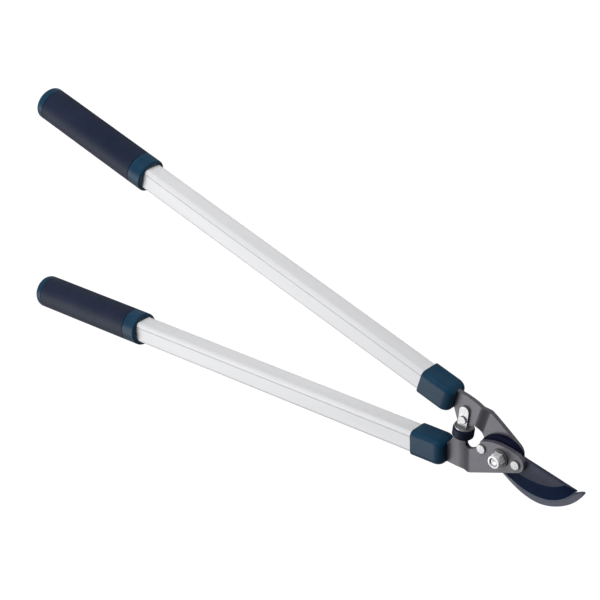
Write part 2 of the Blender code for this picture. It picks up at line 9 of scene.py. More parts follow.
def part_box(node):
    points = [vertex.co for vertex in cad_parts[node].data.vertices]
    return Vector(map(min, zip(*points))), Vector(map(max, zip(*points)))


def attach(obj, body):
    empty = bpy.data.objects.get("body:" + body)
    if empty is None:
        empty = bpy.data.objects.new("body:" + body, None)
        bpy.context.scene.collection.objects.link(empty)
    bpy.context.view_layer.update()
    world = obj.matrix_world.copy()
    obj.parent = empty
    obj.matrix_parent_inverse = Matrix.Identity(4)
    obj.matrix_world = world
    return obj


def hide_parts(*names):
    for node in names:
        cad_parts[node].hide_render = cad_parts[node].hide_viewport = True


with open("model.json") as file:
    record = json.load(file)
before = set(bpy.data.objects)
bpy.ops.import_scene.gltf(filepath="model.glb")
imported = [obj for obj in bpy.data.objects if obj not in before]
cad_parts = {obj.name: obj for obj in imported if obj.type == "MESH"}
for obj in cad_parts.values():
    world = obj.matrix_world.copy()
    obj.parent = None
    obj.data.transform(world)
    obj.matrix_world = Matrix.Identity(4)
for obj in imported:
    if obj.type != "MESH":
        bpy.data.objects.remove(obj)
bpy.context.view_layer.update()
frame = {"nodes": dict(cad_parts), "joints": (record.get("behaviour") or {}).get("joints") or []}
nodes = frame["nodes"]
pivot = Vector(frame["joints"][0]["pos_m"])
print("frame loaded")


# Shared shapes

samePlace = 1e-5  # metres: points nearer than this count as one place
axisX, axisY, axisZ = Vector((1, 0, 0)), Vector((0, 1, 0)), Vector((0, 0, 1))
cadMesh = {"merge": 2e-6, "joinAngle": 0.6, "flat": 0.9999, "upright": 0.001}


def newObject(bm, name):
    mesh = bpy.data.meshes.new(name)
    bm.to_mesh(mesh)
    bm.free()
    piece = bpy.data.objects.new(name, mesh)
    bpy.context.scene.collection.objects.link(piece)
    return piece


def finishPiece(piece, body, node, materials, sharpAngle=38.0, weighted=True):
    # shading, materials, and the body and node that the piece goes with
    for made in materials:
        piece.data.materials.append(made)
    piece.data.shade_smooth()
    piece.data.set_sharp_from_angle(angle=math.radians(sharpAngle))
    if weighted:
        modifier = piece.modifiers.new("flatFaces", "WEIGHTED_NORMAL")
        modifier.keep_sharp = True
        modifier.weight = 60
    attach(piece, body)
    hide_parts(node)


def cutWith(piece, cutter, operation="DIFFERENCE"):
    # a Boolean that is applied at once, and the cutter thrown away
    modifier = piece.modifiers.new("cut", "BOOLEAN")
    modifier.operation = operation
    modifier.solver = "EXACT"
    modifier.object = cutter
    bpy.context.view_layer.update()
    graph = bpy.context.evaluated_depsgraph_get()
    mesh = bpy.data.meshes.new_from_object(piece.evaluated_get(graph))
    piece.modifiers.clear()
    old = piece.data
    piece.data = mesh
    bpy.data.meshes.remove(old)
    mesh.name = piece.name
    bpy.data.objects.remove(cutter, do_unlink=True)


def cutAcross(bm, spot, normal, clearOuter=False):
    # cuts every face that a plane crosses
    geometry = bm.verts[:] + bm.edges[:] + bm.faces[:]
    bmesh.ops.bisect_plane(
        bm, geom=geometry, dist=1e-7, plane_co=spot, plane_no=normal, clear_outer=clearOuter
    )


def sharpEdges(bm, angle):
    limit = math.radians(angle)
    return [e for e in bm.edges if len(e.link_faces) == 2 and e.calc_face_angle(0.0) > limit]


def rings(bm, axis, radius, along=None):
    # sharp circles of this radius about the axis, at one place along it or at every place
    found = []
    for edge in sharpEdges(bm, 50):
        places = [v.co.dot(axis) for v in edge.verts]
        radii = [(v.co - axis * at).length for v, at in zip(edge.verts, places)]
        onRing = all(abs(r - radius) < samePlace for r in radii)
        if onRing and (along is None or all(abs(at - along) < samePlace for at in places)):
            found.append(edge)
    return found


def roundEdges(bm, edges, width, segments, clamp=True):
    bmesh.ops.bevel(
        bm, geom=edges, offset=width, offset_type="OFFSET", segments=segments,
        profile=0.5, affect="EDGES", clamp_overlap=clamp, material=-1,
    )


def spun(profile, axis, steps=96, closed=False):
    # profile points are (distance along the axis, radius), turned once about it
    bm = bmesh.new()
    sideways = axisZ if abs(axis.z) < 0.5 else axisX
    verts = [bm.verts.new(axis * along + sideways * radius) for along, radius in profile]
    edges = [bm.edges.new(pair) for pair in zip(verts, verts[1:])]
    if closed:
        edges.append(bm.edges.new((verts[-1], verts[0])))
    bmesh.ops.spin(
        bm, geom=verts + edges, cent=(0, 0, 0), axis=axis, angle=math.tau,
        steps=steps, use_merge=True, use_duplicate=False,
    )
    bmesh.ops.remove_doubles(bm, verts=bm.verts, dist=1e-6)
    bmesh.ops.recalc_face_normals(bm, faces=bm.faces)
    return bm


def bar(length, width, height, corner, segments=8):
    # a bar along X with its long edges rounded, centred on the origin
    bm = bmesh.new()
    bmesh.ops.create_cube(bm, size=1.0, matrix=Matrix.Diagonal((length, width, height, 1.0)))
    longEdges = [e for e in bm.edges if abs((e.verts[1].co - e.verts[0].co).x) > length / 2]
    roundEdges(bm, longEdges, corner, segments)
    return bm


def atX(parts, x):
    # the edges or faces that lie wholly at x
    return [part for part in parts if all(abs(v.co.x - x) < samePlace for v in part.verts)]


def copyOf(node, flatOnly=False):
    # a CAD node's mesh, merged and with its flat faces joined up again
    bm = bmesh.new()
    bm.from_mesh(nodes[node].data)
    bmesh.ops.remove_doubles(bm, verts=bm.verts, dist=cadMesh["merge"])
    edges = bm.edges[:]
    if flatOnly:
        flat, upright = cadMesh["flat"], cadMesh["upright"]
        edges = [
            e for e in edges
            if all(abs(f.normal.z) > flat or abs(f.normal.z) < upright for f in e.link_faces)
        ]
    joinAngle = math.radians(cadMesh["joinAngle"])
    bmesh.ops.dissolve_limit(bm, angle_limit=joinAngle, verts=[], edges=edges)
    return bm


# Shared material nodes

patternRange = (0.3, 0.7)  # nearly all of a noise pattern lies between these


def newMaterial(name, colour, roughness, metallic=0.0, specular=0.5):
    made = bpy.data.materials.new(name)
    made.use_nodes = True
    shader = made.node_tree.nodes["Principled BSDF"]
    shader.inputs["Base Color"].default_value = (*colour, 1.0)
    shader.inputs["Roughness"].default_value = roughness
    shader.inputs["Metallic"].default_value = metallic
    shader.inputs["Specular IOR Level"].default_value = specular
    return made, made.node_tree, shader


def place(tree, stretch=(1, 1, 1), turn=0.0):
    # Object coordinates, turned about z and then stretched
    coordinates = tree.nodes.new("ShaderNodeTexCoord")
    turned = tree.nodes.new("ShaderNodeMapping")
    turned.inputs["Rotation"].default_value = (0.0, 0.0, turn)
    tree.links.new(coordinates.outputs["Object"], turned.inputs["Vector"])
    stretched = tree.nodes.new("ShaderNodeMapping")
    stretched.inputs["Scale"].default_value = stretch
    tree.links.new(turned.outputs["Vector"], stretched.inputs["Vector"])
    return stretched.outputs["Vector"]


def noise(tree, where, scale, detail=3.0, roughness=0.5):
    made = tree.nodes.new("ShaderNodeTexNoise")
    made.inputs["Scale"].default_value = scale
    made.inputs["Detail"].default_value = detail
    made.inputs["Roughness"].default_value = roughness
    tree.links.new(where, made.inputs["Vector"])
    return made.outputs["Fac"]


def cells(tree, where, scale, smooth=0.6):
    made = tree.nodes.new("ShaderNodeTexVoronoi")
    made.feature = "SMOOTH_F1"
    made.inputs["Scale"].default_value = scale
    made.inputs["Smoothness"].default_value = smooth
    tree.links.new(where, made.inputs["Vector"])
    return made.outputs["Distance"]


def ramp(tree, value, stops):
    made = tree.nodes.new("ShaderNodeValToRGB")
    elements = made.color_ramp.elements
    while len(elements) < len(stops):
        elements.new(0.5)
    for element, (position, colour) in zip(elements, stops):
        element.position = position
        element.color = (*colour, 1.0)
    tree.links.new(value, made.inputs["Fac"])
    return made.outputs["Color"]


def twoTone(tree, pattern, dark, light):
    return ramp(tree, pattern, list(zip(patternRange, (dark, light))))


def mapped(tree, value, start, stop, low, high, interpolation="LINEAR"):
    # low before start and high past stop
    made = tree.nodes.new("ShaderNodeMapRange")
    made.interpolation_type = interpolation
    made.inputs["From Min"].default_value = start
    made.inputs["From Max"].default_value = stop
    made.inputs["To Min"].default_value = low
    made.inputs["To Max"].default_value = high
    tree.links.new(value, made.inputs["Value"])
    return made.outputs["Result"]


def spread(tree, pattern, low, high):
    return mapped(tree, pattern, *patternRange, low, high)


def mixed(tree, factor, first, second, blend="MIX"):
    # the factor is a number or a socket, and each colour a tuple or a socket
    made = tree.nodes.new("ShaderNodeMix")
    made.data_type = "RGBA"
    made.blend_type = blend
    if isinstance(factor, float):
        made.inputs["Factor"].default_value = factor
    else:
        tree.links.new(factor, made.inputs["Factor"])
    for socket, colour in ((made.inputs[6], first), (made.inputs[7], second)):
        if isinstance(colour, tuple):
            socket.default_value = (*colour, 1.0)
        else:
            tree.links.new(colour, socket)
    return made.outputs[2]


def multiplied(tree, colour, tint):
    return mixed(tree, 1.0, colour, tint, "MULTIPLY")


def alongX(tree, start, stop, turn=0.0, interpolation="SMOOTHSTEP"):
    # 0 before start and 1 past stop, as places from the pivot, along x turned about z
    split = tree.nodes.new("ShaderNodeSeparateXYZ")
    tree.links.new(place(tree, turn=turn), split.inputs[0])
    centre = (Matrix.Rotation(turn, 3, "Z") @ pivot).x
    return mapped(tree, split.outputs["X"], centre + start, centre + stop, 0.0, 1.0, interpolation)


def summed(tree, value, times, rest):
    made = tree.nodes.new("ShaderNodeMath")
    made.operation = "MULTIPLY_ADD"
    tree.links.new(value, made.inputs[0])
    made.inputs[1].default_value = times
    tree.links.new(rest, made.inputs[2])
    return made.outputs[0]


def bump(tree, shader, height, distance, strength, under=None):
    made = tree.nodes.new("ShaderNodeBump")
    made.inputs["Distance"].default_value = distance
    made.inputs["Strength"].default_value = strength
    tree.links.new(height, made.inputs["Height"])
    if under is not None:
        tree.links.new(under, made.inputs["Normal"])
    tree.links.new(made.outputs["Normal"], shader.inputs["Normal"])
    return made.outputs["Normal"]


def mottledMaterial(name, look):
    # two tones in clouds, and a fine grain that roughens and dents the surface
    tones, rough = look["tones"], look["rough"]
    made, tree, shader = newMaterial(name, tones[0], rough[0], specular=look["specular"])
    where = place(tree)
    grain = noise(tree, where, *look["grain"])
    clouds = noise(tree, where, *look["clouds"])
    tree.links.new(twoTone(tree, clouds, *tones), shader.inputs["Base Color"])
    tree.links.new(spread(tree, grain, *rough), shader.inputs["Roughness"])
    bump(tree, shader, grain, *look["bump"])
    return made


# Handles. Stations run along each handle, away from the pivot.

handle = {
    "angle": math.radians(9.0),
    "offset": {"upper": 0.0215, "lower": -0.0195},
    "body": {"upper": "hook_half", "lower": "blade_half"},
    "gap": 0.0003,
}


def handleTurn(prefix):
    return handle["angle"] if prefix == "upper" else -handle["angle"]


def handleMatrix(prefix):
    start = Matrix.Translation(pivot + Vector((0, handle["offset"][prefix], 0)))
    return start @ Matrix.Rotation(math.pi - handleTurn(prefix), 4, "Z")


tube = {
    "start": 0.0660, "end": 0.6000, "width": 0.0230, "height": 0.0220, "corner": 0.0042,
    "wall": 0.0015, "grooveFromEdge": 0.0047, "grooveWidth": 0.0011, "grooveDepth": 0.00045,
}
tubeFinish = {
    "base": (0.70, 0.70, 0.71), "metallic": 0.15, "rough": (0.50, 0.62), "bump": (0.00003, 0.5),
    "streakStretch": (4, 900, 900), "streaks": (1.0, 3.0, 0.6),
    "streakStops": [(0.25, (0.65, 0.65, 0.66)), (0.75, (0.74, 0.74, 0.75))],
    "cloudStretch": (9, 60, 60), "clouds": (1.0, 2.0), "cloudShare": 0.5,
    "cloudTones": ((0.68, 0.68, 0.69), (0.73, 0.73, 0.74)),
    # groove: the tube finish darkened inside the grooves, a painted shade
    "outside": 1.0, "groove": 0.72,
}


def tubeMaterial(name, prefix, tone):
    look, turn = tubeFinish, handleTurn(prefix)
    made, tree, shader = newMaterial(name, look["base"], look["rough"][0], look["metallic"])
    streaks = noise(tree, place(tree, look["streakStretch"], turn), *look["streaks"])
    clouds = noise(tree, place(tree, look["cloudStretch"], turn), *look["clouds"])
    fine = ramp(tree, streaks, look["streakStops"])
    broad = twoTone(tree, clouds, *look["cloudTones"])
    metal = multiplied(tree, mixed(tree, look["cloudShare"], fine, broad), (tone, tone, tone))
    tree.links.new(metal, shader.inputs["Base Color"])
    tree.links.new(spread(tree, streaks, *look["rough"]), shader.inputs["Roughness"])
    bump(tree, shader, streaks, *look["bump"])
    return made


def cutGroove(bm, side, face):
    # a fine groove beside one rounded corner: face is 1 on the top and -1 below
    middle = side * (tube["width"] / 2 - tube["grooveFromEdge"])
    half = tube["grooveWidth"] / 2
    for step in (-1.0, -0.5, 0.0, 0.5, 1.0):
        cutAcross(bm, (0, middle + step * half, 0), axisY)
    for vert in bm.verts:
        away = abs(vert.co.y - middle) / half
        if vert.co.z * face > 0 and away < 0.9:  # the two outer cuts stay level
            vert.co.z -= face * tube["grooveDepth"] * (1.0 - away)
    # the groove's floor takes the second, darker finish: painted shade in the groove
    for spot in bm.faces:
        inGroove = abs(spot.calc_center_median().y - middle) < half
        if inGroove and spot.normal.z * face > 0.5:
            spot.material_index = 1


def makeTube(prefix):
    length = tube["end"] - tube["start"]
    bm = bar(length, tube["width"], tube["height"], tube["corner"])
    cutGroove(bm, -1, 1)
    cutGroove(bm, 1, -1)
    ends = atX(bm.faces, -length / 2) + atX(bm.faces, length / 2)
    bmesh.ops.delete(bm, geom=ends, context="FACES")
    bmesh.ops.recalc_face_normals(bm, faces=bm.faces)
    bmesh.ops.solidify(bm, geom=bm.faces[:], thickness=tube["wall"])
    bmesh.ops.recalc_face_normals(bm, faces=bm.faces)
    middle = Matrix.Translation(((tube["start"] + tube["end"]) / 2, 0, 0))
    bmesh.ops.transform(bm, matrix=handleMatrix(prefix) @ middle, verts=bm.verts)
    metals = [
        tubeMaterial(prefix + "TubeMetal", prefix, tubeFinish["outside"]),
        tubeMaterial(prefix + "TubeGroovePaintedShade", prefix, tubeFinish["groove"]),
    ]
    piece = newObject(bm, prefix + "Tube")
    finishPiece(piece, handle["body"][prefix], prefix + "_tube", metals)


grip = {
    "radius": 0.0178, "coreRadius": 0.0156, "collarStart": 0.4686, "collarEnd": 0.4856,
    "capStart": 0.6172, "domeStart": 0.6222, "end": 0.6300, "lip": 0.0018, "seam": 0.0005,
    "mouthRadius": 0.0132, "throatRadius": 0.0128, "mouthDepth": 0.0016,
    "boreLength": 0.3, "boreMiddle": 0.55, "sleeveRings": 40, "domeSteps": 16, "domePower": 0.8,
    "spigotRadius": 0.0092, "spigotStart": 0.5850,
}
gripRubber = mottledMaterial("gripRubber", {
    "tones": ((0.004, 0.009, 0.026), (0.008, 0.014, 0.035)), "rough": (0.50, 0.66), "specular": 0.31,
    "grain": (1500.0, 2.0, 0.6), "clouds": (38.0, 3.0), "bump": (0.00012, 0.6),
})
tealPlastic = mottledMaterial("tealPlastic", {
    "tones": ((0.002, 0.026, 0.056), (0.005, 0.036, 0.074)), "rough": (0.30, 0.42), "specular": 0.22,
    "grain": (2200.0, 2.0, 0.6), "clouds": (55.0, 3.0), "bump": (0.00004, 0.5),
})


def makeGripCore(prefix):
    gap, radius = handle["gap"], grip["radius"]
    throat = grip["collarStart"] + grip["mouthDepth"]
    core = spun(
        [
            (grip["capStart"] - gap, 0.0), (grip["capStart"] - gap, grip["coreRadius"]),
            (grip["collarEnd"], grip["coreRadius"]), (grip["collarEnd"], radius),
            (grip["collarStart"], radius), (grip["collarStart"], grip["mouthRadius"]),
            (throat, grip["throatRadius"]), (throat, 0.0),
        ],
        axisX,
    )
    roundEdges(core, rings(core, axisX, radius, grip["collarStart"]), grip["lip"], 6)
    roundEdges(core, rings(core, axisX, radius, grip["collarEnd"]), grip["seam"], 3)
    piece = newObject(core, prefix + "GripCore")
    bore = bar(
        grip["boreLength"], tube["width"] + 2 * gap, tube["height"] + 2 * gap, tube["corner"] + gap
    )
    bmesh.ops.translate(bore, verts=bore.verts, vec=(grip["boreMiddle"], 0, 0))
    cutWith(piece, newObject(bore, "bore"))
    piece.data.transform(handleMatrix(prefix))
    body = handle["body"][prefix]
    finishPiece(piece, body, prefix + "_grip_core", [tealPlastic])


def makeGripSleeve(prefix):
    gap, radius = handle["gap"], grip["radius"]
    sleeve = spun(
        [
            (grip["capStart"] - gap, radius), (grip["collarEnd"] + gap, radius),
            (grip["collarEnd"] + gap, grip["coreRadius"] + gap),
            (grip["capStart"] - gap, grip["coreRadius"] + gap),
        ],
        axisX, closed=True,
    )
    roundEdges(sleeve, rings(sleeve, axisX, radius), grip["seam"], 3)
    length = grip["capStart"] - grip["collarEnd"]
    for i in range(1, grip["sleeveRings"]):
        cutAcross(sleeve, (grip["collarEnd"] + length * i / grip["sleeveRings"], 0, 0), axisX)
    piece = newObject(sleeve, prefix + "GripSleeve")
    piece.data.transform(handleMatrix(prefix))
    body = handle["body"][prefix]
    finishPiece(piece, body, prefix + "_grip_sleeve", [gripRubber])


def makeGripEndCap(prefix):
    radius = grip["radius"]
    depth = grip["end"] - grip["domeStart"]
    profile = [(grip["end"], 0.0)]
    for i in range(1, grip["domeSteps"] + 1):
        turn = math.pi / 2 * i / grip["domeSteps"]
        out = radius * math.sin(turn) ** grip["domePower"]
        profile.append((grip["domeStart"] + depth * math.cos(turn), out))
    profile += [
        (grip["capStart"], radius), (grip["capStart"], grip["spigotRadius"]),
        (grip["spigotStart"], grip["spigotRadius"]), (grip["spigotStart"], 0.0),
    ]
    cap = spun(profile, axisX)
    roundEdges(cap, rings(cap, axisX, radius, grip["capStart"]), grip["seam"], 3)
    piece = newObject(cap, prefix + "GripEndCap")
    piece.data.transform(handleMatrix(prefix))
    body = handle["body"][prefix]
    finishPiece(piece, body, prefix + "_grip_end_cap", [tealPlastic])


ferrule = {
    "head": 0.0600, "tail": 0.0968, "wall": 0.0020, "face": 0.0040, "corner": 0.0058,
    "cornerSteps": 12, "nose": 0.0095, "noseInset": 0.0052, "noseSteps": 12, "tailRound": 0.0010,
    "pocketPast": 0.010, "slotHalf": 0.00255, "slotLength": 0.030, "slotMiddle": -0.010,
    "edges": {"upper": (-0.0110, 0.0080), "lower": (-0.0100, 0.0104)},
}


def makeFerrule(prefix):
    gap = handle["gap"]
    length = ferrule["tail"] - ferrule["head"]
    width = tube["width"] + 2 * ferrule["wall"]
    height = tube["height"] + 2 * ferrule["wall"]
    nose = ferrule["nose"]
    bm = bar(length, width, height, ferrule["corner"], ferrule["cornerSteps"])
    # the nose draws in along a quarter of an ellipse
    for i in range(ferrule["noseSteps"]):
        x = -length / 2 + nose * (1 - math.sin(math.pi / 2 * i / ferrule["noseSteps"]))
        cutAcross(bm, (x, 0, 0), axisX)
    for vert in bm.verts:
        share = max(0.0, (-length / 2 + nose - vert.co.x) / nose)
        inset = ferrule["noseInset"] * (1 - math.sqrt(max(0.0, 1 - share * share)))
        vert.co.y *= 1 - 2 * inset / width
        vert.co.z *= 1 - 2 * inset / height
    roundEdges(bm, atX(bm.edges, length / 2), ferrule["tailRound"], 4, clamp=False)
    piece = newObject(bm, prefix + "Ferrule")

    # the pocket that takes the tube, open at the tail
    depth, past = length - ferrule["face"], ferrule["pocketPast"]
    pocket = bar(depth + past, tube["width"] + 2 * gap, tube["height"] + 2 * gap, tube["corner"] + gap)
    bmesh.ops.translate(pocket, verts=pocket.verts, vec=((length + past - depth) / 2, 0, 0))
    cutWith(piece, newObject(pocket, "pocket"))

    # the slot in the nose that takes the arm's tang
    low, high = ferrule["edges"][prefix]
    slot = bmesh.new()
    size = Matrix.Diagonal((ferrule["slotLength"], high - low + 2 * gap, 2 * ferrule["slotHalf"], 1.0))
    where = Matrix.Translation((-length / 2 + ferrule["slotMiddle"], (low + high) / 2, 0))
    bmesh.ops.create_cube(slot, size=1.0, matrix=where @ size)
    cutWith(piece, newObject(slot, "slot"))
    middle = Matrix.Translation((ferrule["head"] + length / 2, 0, 0))
    piece.data.transform(handleMatrix(prefix) @ middle)
    body = handle["body"][prefix]
    finishPiece(piece, body, prefix + "_ferrule", [tealPlastic])


for prefix in ("upper", "lower"):
    makeTube(prefix)
    makeGripCore(prefix)
    makeGripSleeve(prefix)
    makeGripEndCap(prefix)
    makeFerrule(prefix)
print("handles made")


# Head plates

plateEdge = {"round": 0.0006, "segments": 3, "sharpAngle": 30.0}
hammered = {
    "base": (0.07, 0.07, 0.08), "specular": 0.95, "rough": (0.32, 0.48), "dimples": 620.0,
    "speckle": (1300.0, 2.0, 0.7), "speckleTones": ((0.034, 0.032, 0.042), (0.106, 0.100, 0.122)),
    "clouds": (70.0, 3.0), "cloudTones": ((0.056, 0.053, 0.066), (0.082, 0.078, 0.095)),
    "cloudShare": 0.45, "dimpleBump": (0.00022, 0.30), "speckleBump": (0.00006, 0.35),
    "hookReach": (0.010, 0.026), "hookTint": (0.72, 0.86, 1.08), "hookDull": 0.22,
    # fold: where the lower arm's paint is darkened as painted shade, and made duller
    "fold": (-0.0510, -0.0325), "foldStops": (0.0, 0.45, 0.75, 1.0),
    "foldPaintedShade": (0.26, 0.28, 0.38), "foldDull": (0.3, 0.3, 0.3),
}


def foldBand(tree, across, outside, inside):
    # one colour in the fold, running out to another on each side of it, for the painted shade and the
    # dullness there
    return ramp(tree, across, list(zip(hammered["foldStops"], (outside, inside, inside, outside))))


def hammeredMaterial(name, onHook):
    look = hammered
    made, tree, shader = newMaterial(name, look["base"], look["rough"][0], specular=look["specular"])
    where = place(tree)
    dimples = cells(tree, where, look["dimples"])
    speckle = noise(tree, where, *look["speckle"])
    clouds = noise(tree, where, *look["clouds"])
    fine = twoTone(tree, speckle, *look["speckleTones"])
    broad = twoTone(tree, clouds, *look["cloudTones"])
    paint = mixed(tree, look["cloudShare"], fine, broad)
    rough = spread(tree, speckle, *look["rough"])
    if onHook:
        # the hook is made bluer and duller than its arm, from a set distance past the pivot
        outward = alongX(tree, *look["hookReach"])
        paint = mixed(tree, outward, paint, multiplied(tree, paint, look["hookTint"]))
        rough = summed(tree, outward, look["hookDull"], rough)
    else:
        # painted shade: the paint is darkened along the fold, and made duller there
        across = alongX(tree, *look["fold"], handleTurn("lower"), "LINEAR")
        paint = multiplied(tree, paint, foldBand(tree, across, (1, 1, 1), look["foldPaintedShade"]))
        rough = summed(tree, foldBand(tree, across, (0, 0, 0), look["foldDull"]), 1.0, rough)
    tree.links.new(paint, shader.inputs["Base Color"])
    tree.links.new(rough, shader.inputs["Roughness"])
    under = bump(tree, shader, dimples, *look["dimpleBump"])
    bump(tree, shader, speckle, *look["speckleBump"], under)
    return made


def makeArm(name, node, body, paint):
    bm = copyOf(node)
    roundEdges(bm, sharpEdges(bm, 40), plateEdge["round"], plateEdge["segments"])
    piece = newObject(bm, name)
    finishPiece(piece, body, node, [paint], plateEdge["sharpAngle"])


makeArm("upperArmHook", "upper_arm_hook", "hook_half", hammeredMaterial("hookPaint", True))
makeArm("lowerArm", "lower_arm", "blade_half", hammeredMaterial("hammeredPaintAndFoldShade", False))


blade = {
    "honedWidth": 0.0010, "honedHeight": 0.0006, "backRound": 0.0011, "rootEnd": 0.0195,
    "bevelSlope": (0.02, 0.9995), "blend": 0.005, "sharpAngle": 7.0,
}
bladeGrain = {"grain": (900.0, 2.0, 0.6), "clouds": (90.0, 4.0, 0.6), "bump": (0.00005, 0.4)}
bladeLooks = {
    "bladeCoat": {
        "tones": ((0.024, 0.027, 0.050), (0.032, 0.035, 0.060)), "rough": (0.33, 0.46), "specular": 0.22,
    },
    "bladeBevel": {
        "tones": ((0.003, 0.010, 0.034), (0.005, 0.014, 0.044)), "rough": (0.40, 0.53), "specular": 0.05,
    },
    "bladeHonedEdge": {
        "tones": ((0.08, 0.11, 0.14), (0.12, 0.15, 0.19)), "rough": (0.35, 0.48), "specular": 0.30,
    },
    # bladeRootPaintedShadow: darker and with less sheen, a painted shadow of the lower arm on the
    # blade's root
    "bladeRootPaintedShadow": {
        "tones": ((0.003, 0.004, 0.016), (0.006, 0.008, 0.026)), "rough": (0.50, 0.63), "specular": 0.05,
    },
}
bevel, honed, root = 1, 2, 3  # their places in bladeLooks, after the coat


def evenBevel(mesh):
    # the ground bevel takes one normal that turns slowly along it
    ground = [f for f in mesh.polygons if f.material_index in (bevel, honed)]
    normals = [Vector(n.vector) for n in mesh.corner_normals]
    turned = {}
    for face in ground:
        for corner in face.loop_indices:
            vert = mesh.loops[corner].vertex_index
            if vert not in turned:
                total = Vector()
                for other in ground:
                    away = (other.center - mesh.vertices[vert].co).xy.length / blade["blend"]
                    total += other.normal * other.area * math.exp(-away * away)
                turned[vert] = total.normalized()
            normals[corner] = turned[vert]
    mesh.normals_split_custom_set(normals)


def makeBlade():
    bm = copyOf("cutting_blade", flatOnly=True)
    low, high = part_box("cutting_blade")
    rootEnd = pivot.x + blade["rootEnd"]
    cutAcross(bm, (rootEnd, 0, 0), axisX)
    shallow, steep = blade["bevelSlope"]
    for face in bm.faces:
        if shallow < face.normal.z < steep:
            face.material_index = bevel
        # the root beside the lower arm takes a darker finish: a painted shadow of the arm
        elif face.calc_center_median().x < rootEnd:
            face.material_index = root
    # a narrow honed strip along the cutting edge, in the plane of the bevel
    strips = bmesh.ops.inset_region(
        bm, faces=[f for f in bm.faces if f.material_index == bevel], use_boundary=True,
        use_even_offset=True, thickness=blade["honedWidth"], depth=0.0,
    )["faces"]
    for strip in strips:
        atEdge = all(v.co.z < low.z + blade["honedHeight"] for v in strip.verts)
        strip.material_index = honed if atEdge else bevel
    backs = [e for e in sharpEdges(bm, 50) if all(v.co.z > high.z - samePlace for v in e.verts)]
    roundEdges(bm, backs, blade["backRound"], 4)
    piece = newObject(bm, "cuttingBlade")
    materials = [mottledMaterial(name, {**bladeGrain, **look}) for name, look in bladeLooks.items()]
    finishPiece(
        piece, "blade_half", "cutting_blade", materials,
        blade["sharpAngle"], weighted=False,
    )
    evenBevel(piece.data)


makeBlade()
print("head plates made")


# Pivot hardware and rivets

zincFinish = {
    "mottle": (420.0, 4.0, 0.6), "grain": (2600.0, 2.0), "bump": (0.00002, 0.4),
    "cool": (0.90, 0.92, 0.95), "warm": (1.0, 0.99, 0.98), "smoother": 0.06, "rougher": 0.08,
}


def zincMaterial(name, tone, roughness, metallic=0.9):
    look = zincFinish
    made, tree, shader = newMaterial(name, (tone, tone, tone), roughness, metallic)
    where = place(tree)
    mottle = noise(tree, where, *look["mottle"])
    grain = noise(tree, where, *look["grain"])
    cool, warm = (tuple(tone * part for part in look[key]) for key in ("cool", "warm"))
    shine = spread(tree, mottle, roughness - look["smoother"], roughness + look["rougher"])
    tree.links.new(twoTone(tree, mottle, cool, warm), shader.inputs["Base Color"])
    tree.links.new(shine, shader.inputs["Roughness"])
    bump(tree, shader, grain, *look["bump"])
    return made


zinc = zincMaterial("zincPlate", 0.50, 0.28)
washerZinc = zincMaterial("washerZinc", 0.13, 0.42, 0.6)
nutZinc = zincMaterial("nutZinc", 0.84, 0.32, 0.50)
rivetSteel = zincMaterial("rivetSteel", 0.50, 0.38)

stack = {"front": 0.0067, "gap": 0.0003, "washer": 0.0015, "hex": 0.0062, "collar": 0.0023}
nut = {
    "flats": 0.0130, "turn": math.radians(35.0), "collarRadius": 0.0065, "collarRoot": 0.0010,
    "bore": 0.0043, "boreChamfer": (0.0004, 0.0006), "boreLength": 0.030, "rim": 0.0009,
    "chamfer": math.radians(28.0), "chamferReach": 0.97, "chamferCuts": 36,
    "edgeRound": 0.00022, "sharpAngle": 32.0,
}


def hexagon(low, high, turn):
    bm = bmesh.new()
    radius = nut["flats"] / math.sqrt(3.0)
    spot = Matrix.Translation((0, 0, (low + high) / 2)) @ Matrix.Rotation(turn, 4, "Z")
    bmesh.ops.create_cone(
        bm, cap_ends=True, segments=6, radius1=radius, radius2=radius, depth=high - low, matrix=spot
    )
    return bm


def chamferHexagon(bm, height, way):
    # cuts the six corners back round a cone, at the end that faces the way given
    for i in range(nut["chamferCuts"]):
        turn = math.tau * i / nut["chamferCuts"]
        out = Vector((math.cos(turn), math.sin(turn), 0))
        normal = out * math.sin(nut["chamfer"]) + axisZ * way * math.cos(nut["chamfer"])
        spot = out * nut["flats"] / 2 * nut["chamferReach"] + axisZ * height
        cutAcross(bm, spot, normal, clearOuter=True)
        bmesh.ops.holes_fill(bm, edges=[e for e in bm.edges if e.is_boundary], sides=0)
    bmesh.ops.recalc_face_normals(bm, faces=bm.faces)
    roundEdges(bm, sharpEdges(bm, 40), nut["edgeRound"], 2)


def makeNut():
    low = stack["front"] + stack["gap"] + stack["washer"] + stack["gap"]
    top = low + stack["hex"]
    end = top + stack["collar"]
    chamferOut, chamferDeep = nut["boreChamfer"]
    bm = hexagon(low, top, nut["turn"])
    chamferHexagon(bm, top, 1)
    piece = newObject(bm, "pivotNut")
    collar = spun(
        [
            (low + nut["collarRoot"], 0.0), (low + nut["collarRoot"], nut["collarRadius"]),
            (end, nut["collarRadius"]), (end, nut["bore"] + chamferOut),
            (end - chamferDeep, nut["bore"]), (end - chamferDeep, 0.0),
        ],
        axisZ,
    )
    roundEdges(collar, rings(collar, axisZ, nut["collarRadius"], end), nut["rim"], 6)
    cutWith(piece, newObject(collar, "collar"), "UNION")
    length, radius = nut["boreLength"], nut["bore"]
    bore = spun([(0.0, 0.0), (0.0, radius), (length, radius), (length, 0.0)], axisZ)
    cutWith(piece, newObject(bore, "bore"))
    piece.data.transform(Matrix.Translation(pivot))
    finishPiece(piece, "hook_half", "pivot_nut", [nutZinc], nut["sharpAngle"])


washer = {"radius": 0.0091, "inner": 0.0043, "edge": 0.0006}


